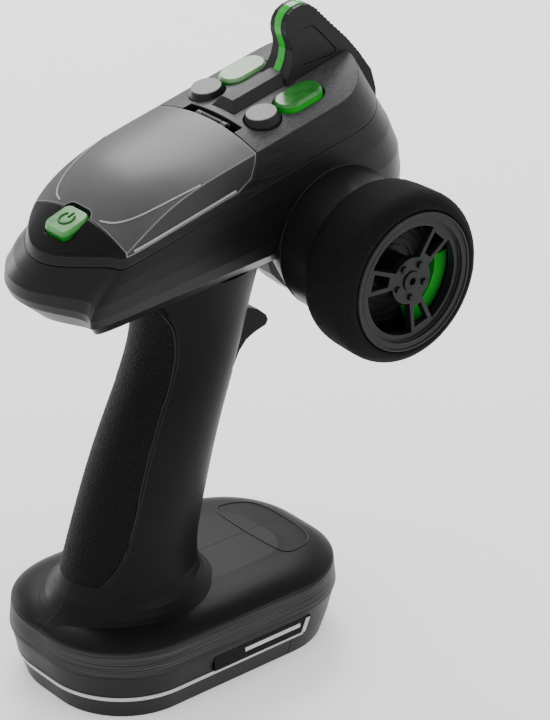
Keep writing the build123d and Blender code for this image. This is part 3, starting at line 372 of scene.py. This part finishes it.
caliper_green = plastic(
    "caliper_green", (0.018, 0.26, 0.022), 0.3, 0.10, 1400.0, edge_lift=1.9, coat=0.3,
    mottling=0.25,
)
board_green = plastic("board_green", (0.010, 0.075, 0.028), 0.45, 0.2, 500.0, edge_lift=1.8)
cell_wrap = plastic("cell_wrap", (0.08, 0.10, 0.14), 0.28, 0.05, edge_lift=1.6, coat=0.4)
white_plastic = plastic("white_plastic", (0.62, 0.62, 0.60), 0.42, 0.1, edge_lift=1.2)
red_plastic = plastic("red_plastic", (0.48, 0.018, 0.014), 0.38, 0.1, edge_lift=1.6)
dial_grey = plastic("dial_grey", (0.20, 0.20, 0.21), 0.4, 0.1, edge_lift=1.8)
panel_black = plastic("panel_black", (0.016, 0.016, 0.017), 0.45, 0.14, edge_lift=2.4)
rubber = rubber_material("grip_leather_grain", (0.0040, 0.0040, 0.0040), 1000.0, 0.8)
strip_rubber = rubber_material("strip_grain", (0.007, 0.007, 0.007), 1200.0, 0.5)
foam = foam_material()
lid_smoke = smoked_lid()


def button_material(name, node):
    """Black round button, grey on its top face."""
    high = span_along(node, DECK_AXIS)[1]
    s = Shader(name)
    soft_normal, edge_mask = s.edges(0.3 * MM)
    rise = s.along(DECK_AXIS, high - 0.35 * MM, high - 0.12 * MM)
    fine = s.noise(1400.0, 4.0)
    top = s.mix(s.remap(fine, 0.3, 0.7), (0.14, 0.14, 0.143), (0.19, 0.19, 0.193))
    tone = s.mix(rise, (0.008, 0.008, 0.009), top)
    rough = s.remap(fine, 0.2, 0.8, 0.3, 0.4)
    return s.finish(tone, rough, s.bump(fine, 0.08, 0.1 * MM, soft_normal))


def green_button(name, node, axis, side, top, painted_glow):
    """Green button whose top colour begins just under its face."""
    high = span_along(node, axis)[1]
    return lit_green(name, axis, (high - 1.7 * MM, high - 0.4 * MM), side, top, painted_glow)


strip_green = lit_green(
    "strip_green", UP, (0.0, 0.1), (0.002, 0.22, 0.004), (0.002, 0.26, 0.005), 0.16
)
power_green = green_button(
    "power_green", "power_button", POWER_AXIS, (0.004, 0.12, 0.006), (0.075, 0.30, 0.070), 0.03
)
rocker_lit = green_button(
    "rocker_lit", "trim_rocker_right", DECK_AXIS, (0.003, 0.26, 0.008), (0.022, 0.12, 0.020), 0.05
)
rocker_pale = green_button(
    "rocker_pale", "trim_rocker_left", DECK_AXIS, (0.008, 0.20, 0.012), (0.22, 0.40, 0.20), 0.02
)
button_right_grey = button_material("button_right_grey", "push_button_right")
button_left_grey = button_material("button_left_grey", "push_button_left")

assignments = {
    satin: ["handle_right", "handle_left"],
    head_satin: ["head_lower_shell", "wheel_boss"],
    deck_brushed: ["head_top_cover"],
    gloss_black: ["rear_surround", "side_plate", "buzzer"],
    shell_black: [
        "base_tray", "battery_door", "lid_hinge_barrel", "tact_switches", "steering_sensor",
        "trigger_brackets", "throttle_sensor", "battery_holder",
    ],
    fin_black: ["antenna_fin", "fin_inlays"],
    trigger_black: ["trigger_blade"],
    gunmetal: ["wheel_rim"],
    steel: [
        "rocker_pins", "bearing_bush", "steering_shaft", "steering_spring",
        "trigger_pin", "trigger_spring", "battery_contacts", "case_screws",
    ],
    silver: ["silver_trim"],
    bolt_black: ["lug_bolts", "hub_screw", "lid_hinge_pin"],
    disc_black: ["brake_disc"],
    caliper_green: ["brake_caliper"],
    board_green: ["deck_board", "base_board", "trim_board", "main_board"],
    cell_wrap: ["battery_cells"],
    white_plastic: ["antenna_rod", "centring_arm", "reverse_switch_1", "reverse_switch_2"],
    red_plastic: ["trim_dial_1", "trim_dial_4"],
    dial_grey: ["trim_dial_2", "trim_dial_3"],
    panel_black: ["lid_panel"],
    strip_rubber: ["trigger_pad", "grip_front_strip"],
    rubber: ["grip_rubber"],
    foam: ["foam_tyre"],
    lid_smoke: ["lid"],
    strip_green: ["fin_light_strip"],
    power_green: ["power_button"],
    rocker_lit: ["trim_rocker_right"],
    rocker_pale: ["trim_rocker_left"],
    button_right_grey: ["push_button_right"],
    button_left_grey: ["push_button_left"],
}
for material, names in assignments.items():
    for name in names:
        slots = nodes[name].data.materials
        slots.clear()
        slots.append(material)


# ---------------------------------------------------------------- mesh kit
# distance in metres from the middle to where rays start, outside every shell
RAY_REACH = 0.08


def mesh_object(name, vertices, faces, material, smooth=True):
    """Object made of vertices and faces, in the scene."""
    mesh = bpy.data.meshes.new(name)
    mesh.from_pydata([tuple(v) for v in vertices], [], faces)
    mesh.validate()
    mesh.polygons.foreach_set("use_smooth", [smooth] * len(mesh.polygons))
    mesh.materials.append(material)
    piece = bpy.data.objects.new(name, mesh)
    bpy.context.scene.collection.objects.link(piece)
    return piece


def resampled(points, step, closed=True):
    """Points at about equal steps along a polyline, without the end point of an open one."""
    result = []
    ends = points[1:] + points[:1] if closed else points[1:]
    for point, following in zip(points, ends):
        span = math.dist(point, following)
        count = max(1, round(span / step))
        for k in range(count):
            t = k / count
            result.append(tuple(a + (b - a) * t for a, b in zip(point, following)))
    return result


def revolved(name, profile, centre, segments, material, relief=None):
    """Closed (x, radius) profile turned about the wheel's axis."""
    vertices = []
    faces = []
    count = len(profile)
    for turn in range(segments):
        angle = 2 * math.pi * turn / segments
        for x, radius in profile:
            reach = radius + (relief(x, radius, angle) if relief else 0.0)
            vertices.append(
                (x, centre.y + reach * math.cos(angle), centre.z + reach * math.sin(angle))
            )
    for turn in range(segments):
        ahead = (turn + 1) % segments
        for k in range(count):
            after = (k + 1) % count
            here, there = turn * count, ahead * count
            faces.append((here + k, here + after, there + after, there + k))
    piece = mesh_object(name, vertices, faces, material)
    bm = bmesh.new()
    bm.from_mesh(piece.data)
    bmesh.ops.recalc_face_normals(bm, faces=bm.faces)
    bm.to_mesh(piece.data)
    bm.free()
    return piece


def tube(name, points, radius, material, closed=False):
    """Round bead along points."""
    curve = bpy.data.curves.new(name, "CURVE")
    curve.dimensions = "3D"
    curve.bevel_depth = radius
    curve.bevel_resolution = 3
    spline = curve.splines.new("POLY")
    spline.points.add(len(points) - 1)
    for target, point in zip(spline.points, points):
        target.co = (*point, 1.0)
    spline.use_cyclic_u = closed
    curve.use_fill_caps = not closed
    piece = bpy.data.objects.new(name, curve)
    curve.materials.append(material)
    bpy.context.scene.collection.objects.link(piece)
    return piece


def surface(*names):
    """Ray target made of some CAD nodes."""
    vertices = []
    polygons = []
    for name in names:
        start = len(vertices)
        vertices.extend(v.co.copy() for v in nodes[name].data.vertices)
        polygons.extend([start + i for i in p.vertices] for p in nodes[name].data.polygons)
    return BVHTree.FromPolygons(vertices, polygons)


def from_side(target, side, y, z):
    """Place and normal where a level ray from one side first meets a target."""
    start = Vector((side * RAY_REACH, y, z))
    place, normal, _, _ = target.ray_cast(start, Vector((-side, 0, 0)))
    return place, normal


def from_above(target, x, y, height):
    """Place and normal where a falling ray from a height first meets a target."""
    place, normal, _, _ = target.ray_cast(Vector((x, y, height)), -UP)
    return place, normal


def smoothed(points, rounds, closed):
    """Points with corners rounded by repeated corner cutting."""
    for _ in range(rounds):
        ends = points[1:] + points[:1] if closed else points[1:]
        result = []
        for a, b in zip(points, ends):
            result.append(tuple(0.75 * p + 0.25 * q for p, q in zip(a, b)))
            result.append(tuple(0.25 * p + 0.75 * q for p, q in zip(a, b)))
        points = result if closed else [points[0], *result, points[-1]]
    return points


def placed(piece, body, slot, *replaced):
    """Put a piece on a body, in place of any CAD nodes named; the slot is not used."""
    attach(piece, body)
    if replaced:
        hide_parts(*replaced)
    return piece


# ---------------------------------------------------------------- wheel
TYRE_SEGMENTS = 300
LIP_SEGMENTS = 160
LIP_DEPTH = 1.1 * MM
FOAM_RELIEF = 0.07 * MM
turn_joint = next(j for j in frame["joints"] if j["name"] == "steering_turn")
wheel_centre = Vector(turn_joint["pos_m"])
tyre_low, tyre_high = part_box("foam_tyre")
tyre_radius = (tyre_high.z - tyre_low.z) / 2
tyre_back = tyre_low.x
tyre_width = tyre_high.x - tyre_low.x
# the tyre's section, as (share of its width, share of its radius)
TYRE_SHAPE = [
    (0.0, 0.775), (0.0, 0.835), (0.02, 0.885), (0.07, 0.93), (0.15, 0.965), (0.26, 0.985),
    (0.48, 0.995), (0.70, 1.0), (0.79, 0.996), (0.87, 0.976), (0.94, 0.938), (0.985, 0.892),
    (1.0, 0.855), (0.99, 0.828), (0.965, 0.815), (0.90, 0.813), (0.89, 0.775),
]
tyre_outline = [(tyre_back + a * tyre_width, b * tyre_radius) for a, b in TYRE_SHAPE]
tyre_outline = resampled(smoothed(tyre_outline, 1, True), 0.55 * MM)


def foam_relief(x, radius, angle):
    """Unevenness of the foam, outside the seat of the rim."""
    if radius <= 0.8 * tyre_radius:
        return 0.0
    point = Vector((x, radius * math.cos(angle), radius * math.sin(angle)))
    return FOAM_RELIEF * noise.fractal(point * 900.0, 0.8, 2.0, 3)


tyre = revolved("tyre_foam_ring", tyre_outline, wheel_centre, TYRE_SEGMENTS, foam, foam_relief)
placed(tyre, "steering_wheel", "foam", "foam_tyre")

rim_low, rim_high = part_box("wheel_rim")
rim_radius = (rim_high.z - rim_low.z) / 2
for label, outer, inner, front in (
    ("rim_lip_outer", rim_radius, rim_radius - 0.9 * MM, rim_high.x + 0.5 * MM),
    ("rim_lip_inner", rim_radius - 2.3 * MM, rim_radius - 3.0 * MM, rim_high.x + 0.15 * MM),
):
    back = front - LIP_DEPTH
    corners = [(back, inner), (front, inner), (front, outer), (back, outer)]
    lip = revolved(label, smoothed(corners, 2, True), wheel_centre, LIP_SEGMENTS, gunmetal)
    placed(lip, "steering_wheel", "gunmetal")

# ---------------------------------------------------------------- grip rubber
GRAIN_VOXEL = 0.42 * MM
GRAIN_SHARPNESS = 2.2
handle_surface = surface("handle_right", "handle_left", "grip_rubber", "grip_front_strip")


def grained_copy(name, source, amount, cell, material):
    """Remeshed copy of a CAD solid with grains of a height and a size on its surface."""
    copy = bpy.data.objects.new(name, nodes[source].data.copy())
    copy.data.materials.clear()
    copy.data.materials.append(material)
    bpy.context.scene.collection.objects.link(copy)
    remesh = copy.modifiers.new("remesh", "REMESH")
    remesh.mode = "VOXEL"
    remesh.voxel_size = GRAIN_VOXEL
    bpy.context.view_layer.update()
    evaluated = copy.evaluated_get(bpy.context.evaluated_depsgraph_get())
    mesh = bpy.data.meshes.new_from_object(evaluated)
    copy.modifiers.clear()
    copy.data = mesh
    normals = [v.normal.copy() for v in mesh.vertices]
    for vertex, normal in zip(mesh.vertices, normals):
        nearest, second = noise.voronoi(vertex.co / cell)[0][:2]
        grain = min(1.0, (second - nearest) * GRAIN_SHARPNESS)
        vertex.co += normal * amount * (grain - 0.5)
    mesh.polygons.foreach_set("use_smooth", [True] * len(mesh.polygons))
    return copy


grip_skin = grained_copy("grip_rubber_skin", "grip_rubber", 0.09 * MM, 0.95 * MM, rubber)
placed(grip_skin, "case", "grip_rubber", "grip_rubber")
strip_skin = grained_copy(
    "grip_strip_skin", "grip_front_strip", 0.07 * MM, 0.85 * MM, strip_rubber
)
placed(strip_skin, "case", "grip_rubber", "grip_front_strip")

# two beads along the rubber's front edge on each side, (Y, Z) in millimetres
RUBBER_EDGE = [
    (-9.5, 131), (-6.7, 125), (-8, 112), (-16, 94),
    (-22.5, 78), (-27.5, 61), (-33, 48), (-38, 42),
]
# how far each bead's middle lies under the surface
BEAD_SINK = 0.08 * MM
for side, label in ((1, "right"), (-1, "left")):
    for shift, radius, part in ((0.0, 0.32, "inner"), (1.0, 0.18, "outer")):
        points = []
        for y, z in smoothed(RUBBER_EDGE, 3, False):
            place, normal = from_side(handle_surface, side, (y + shift) * MM, z * MM)
            if place is not None:
                points.append(place - normal * BEAD_SINK)
        bead = tube(f"rubber_edge_{part}_{label}", points, radius * MM, shell_black)
        placed(bead, "case", "grip_rubber")

# ---------------------------------------------------------------- base details
# corners of the raised outline on the base's top, (X, Y) in millimetres
PANEL_CORNERS = [
    (-21, 33), (-10, 31.5), (10, 31.5), (21, 33), (18, 46), (10, 49.5), (-10, 49.5), (-18, 46),
]
ABOVE_BASE = 0.06
OUTLINE_RISE = 0.02 * MM
points = []
for x, y in resampled(smoothed(PANEL_CORNERS, 3, True), 1.0):
    place, _ = from_above(handle_surface, x * MM, y * MM, ABOVE_BASE)
    points.append(place + UP * OUTLINE_RISE)
outline = tube("base_panel_bead", points, 0.28 * MM, shell_black, closed=True)
placed(outline, "case", "shell_black")

# ---------------------------------------------------------------- power symbol
# radius of the symbol's arc in millimetres, and of the bead that draws it
SYMBOL_RADIUS = 2.6
SYMBOL_LINE = 0.42 * MM
power_high = span_along("power_button", POWER_AXIS)[1]
box_low, box_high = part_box("power_button")
centre = (box_low + box_high) / 2
centre += POWER_AXIS * (power_high - POWER_AXIS.dot(centre))
symbol_up = Vector((0, math.cos(POWER_TILT), math.sin(POWER_TILT)))
symbol_right = Vector((1, 0, 0))


def on_power_face(across, up):
    """Point on the power button's face, in millimetres from its middle."""
    return centre + symbol_right * across * MM + symbol_up * up * MM


symbol_green = plastic("symbol_green", (0.006, 0.085, 0.010), 0.4, 0.05, edge_lift=1.5)
arc = [
    on_power_face(SYMBOL_RADIUS * math.sin(angle), SYMBOL_RADIUS * math.cos(angle))
    for angle in map(math.radians, range(38, 323, 6))
]
placed(tube("power_symbol_arc", arc, SYMBOL_LINE, symbol_green), "power_button", "green_clear")
bar = [on_power_face(0, 0.6), on_power_face(0, 1.9), on_power_face(0, 3.2)]
placed(tube("power_symbol_bar", bar, SYMBOL_LINE, symbol_green), "power_button", "green_clear")

# ---------------------------------------------------------------- painted highlight lines on the lid
lid_surface = surface("lid")
lid_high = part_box("lid")[1]
# pale bead material for the painted highlight lines on the lid
painted_highlight = plastic(
    "lid_edge_painted_highlight", (0.30, 0.30, 0.31), 0.35, 0.04, edge_lift=1.2, specular=0.4
)
# the painted highlight line along the lid's side: its height where Y is 0, and its span in Y, in
# millimetres
LID_EDGE_HEIGHT = 174.6
LID_EDGE_BACK = -33.5
LID_EDGE_LENGTH = 40.5
LID_EDGE_PROUD = 0.12 * MM
EDGE_STEPS = 24
# the lid's crown is where its surface's normal has a Z over this
CROWN_LEVEL = 0.8
# the crease of the lid's crown, along which a painted highlight line runs, in (X, Y) on the right
# side, in millimetres
CREASE = [
    (24.6, -6.0), (23.6, -13.0), (21.8, -21.0), (19.2, -28.0), (15.2, -33.0), (10.4, -34.9),
]


def on_lid(x, y):
    """Point on the lid's crown at (x, y) in millimetres, or None off the crown."""
    place, normal = from_above(lid_surface, x * MM, y * MM, lid_high.z + 10 * MM)
    return place if place is not None and normal.z > CROWN_LEVEL else None


for side, label in ((1, "right"), (-1, "left")):
    points = []
    for step in range(EDGE_STEPS + 1):
        y = LID_EDGE_BACK + LID_EDGE_LENGTH * step / EDGE_STEPS
        z = LID_EDGE_HEIGHT + math.tan(DECK_TILT) * y
        place, _ = from_side(lid_surface, side, y * MM, z * MM)
        if place is not None:
            points.append(place + Vector((side * LID_EDGE_PROUD, 0, 0)))
    placed(tube(f"lid_edge_{label}", points, 0.4 * MM, painted_highlight), "lid", "lid_smoke")
    crease = [on_lid(side * x, y) for x, y in smoothed(CREASE, 2, False)]
    crease = [point for point in crease if point is not None]
    placed(tube(f"lid_crease_{label}", crease, 0.3 * MM, painted_highlight), "lid", "lid_smoke")

# ---------------------------------------------------------------- fin teeth
fin_surface = surface("antenna_fin")
# the fin's front edge from its tip down, (Y, Z) in millimetres
FIN_FRONT = [(57.5, 218.7), (60, 216.8), (65, 211.4), (71.6, 204.6), (76.5, 198.4), (79.9, 192.6)]
TOOTH_PITCH = 1.9
# a tooth is this much narrower on each side than the fin is at a depth under its edge
TOOTH_MARGIN = 0.7 * MM
WIDTH_DEPTH = 2 * MM
DEFAULT_HALF = 5 * MM
TOOTH_BEVEL = 0.15 * MM
# a tooth's section, as (along the edge, out of it, share of its width), in millimetres
TOOTH_SECTION = ((-0.55, -0.6, 1.0), (-0.35, 0.45, 0.93), (0.35, 0.45, 0.93), (0.55, -0.6, 1.0))
TOOTH_FACES = (
    (0, 1, 2, 3), (7, 6, 5, 4), (0, 4, 5, 1), (1, 5, 6, 2), (2, 6, 7, 3), (3, 7, 4, 0),
)
teeth_vertices = []
teeth_faces = []
spine = resampled(FIN_FRONT, TOOTH_PITCH, closed=False)
for (y, z), (ahead_y, ahead_z) in zip(spine, spine[1:]):
    along = Vector((0, ahead_y - y, ahead_z - z)).normalized()
    out = Vector((0, -along.z, along.y))
    middle = Vector((0, y * MM, z * MM))
    inside = middle - out * WIDTH_DEPTH
    place, _ = from_side(fin_surface, 1, inside.y, inside.z)
    half = (DEFAULT_HALF if place is None else place.x) - TOOTH_MARGIN
    start = len(teeth_vertices)
    for sign in (-1, 1):
        for a, o, share in TOOTH_SECTION:
            corner = middle + along * a * MM + out * o * MM
            teeth_vertices.append(corner + Vector((sign * half * share, 0, 0)))
    teeth_faces.extend(tuple(start + i for i in face) for face in TOOTH_FACES)
teeth = mesh_object("fin_front_teeth", teeth_vertices, teeth_faces, fin_black, smooth=False)
bevel = teeth.modifiers.new("edge", "BEVEL")
bevel.width = TOOTH_BEVEL
bevel.segments = 2
placed(teeth, "case", "shell_black")

# ---------------------------------------------------------------- stage, light and camera
WHITE = (1.0, 1.0, 1.0, 1.0)
FLOOR_HALF = 6
FLOOR_DROP = 0.2 * MM
FLOOR_GLOW = 0.35
WORLD_STRENGTH = 1.15
floor_pale = plastic(
    "floor_pale", (0.93, 0.93, 0.93), 0.7, 0.02, 40.0, edge_lift=1.0, mottling=0.004
)
floor_shader = floor_pale.node_tree.nodes["Principled BSDF"]
floor_shader.inputs["Emission Color"].default_value = WHITE
floor_shader.inputs["Emission Strength"].default_value = FLOOR_GLOW
floor_corners = [
    (x * FLOOR_HALF, y * FLOOR_HALF, 0) for x, y in ((-1, -1), (1, -1), (1, 1), (-1, 1))
]
floor = mesh_object("floor", floor_corners, [(0, 1, 2, 3)], floor_pale)
floor.location.z = -FLOOR_DROP

world = bpy.data.worlds.new("studio")
bpy.context.scene.world = world
world.use_nodes = True
background = world.node_tree.nodes["Background"]
background.inputs["Color"].default_value = WHITE
background.inputs["Strength"].default_value = WORLD_STRENGTH

TARGET = Vector((3.5, 42.0, 95.5)) * MM
AZIMUTH = math.radians(50)
ELEVATION = math.radians(27.5)
CAMERA_DISTANCE = 1.08
# in millimetres, as the camera's data takes them
SENSOR_HEIGHT = 36.0
FOCAL_LENGTH = 160.0
level = Vector((math.sin(AZIMUTH), -math.cos(AZIMUTH), 0))
to_camera = level * math.cos(ELEVATION) + UP * math.sin(ELEVATION)
right = Vector((math.cos(AZIMUTH), math.sin(AZIMUTH), 0))


def softbox(name, place, size, power):
    """Rectangular light aimed at the target."""
    data = bpy.data.lights.new(name, "AREA")
    data.shape = "RECTANGLE"
    data.size, data.size_y = size
    data.energy = power
    lamp = bpy.data.objects.new(name, data)
    lamp.location = place
    lamp.rotation_euler = (TARGET - place).to_track_quat("-Z", "Y").to_euler()
    bpy.context.scene.collection.objects.link(lamp)


softbox("deck_sheen", TARGET + Vector((-0.68, 0.38, 0.72)) * 1.1, (0.6, 0.6), 9)
softbox("left_rim", TARGET - right * 0.75 - to_camera * 0.75 + UP * 0.2, (0.2, 1.0), 4)
softbox("right_fill", TARGET + right * 0.9 + to_camera * 0.5 + UP * 0.5, (0.6, 0.8), 2)

camera_data = bpy.data.cameras.new("camera")
camera_data.sensor_fit = "VERTICAL"
camera_data.sensor_height = SENSOR_HEIGHT
camera_data.lens = FOCAL_LENGTH
camera = bpy.data.objects.new("camera", camera_data)
camera.location = TARGET + to_camera * CAMERA_DISTANCE
camera.rotation_euler = (-to_camera).to_track_quat("-Z", "Y").to_euler()
bpy.context.scene.collection.objects.link(camera)
bpy.context.scene.camera = camera
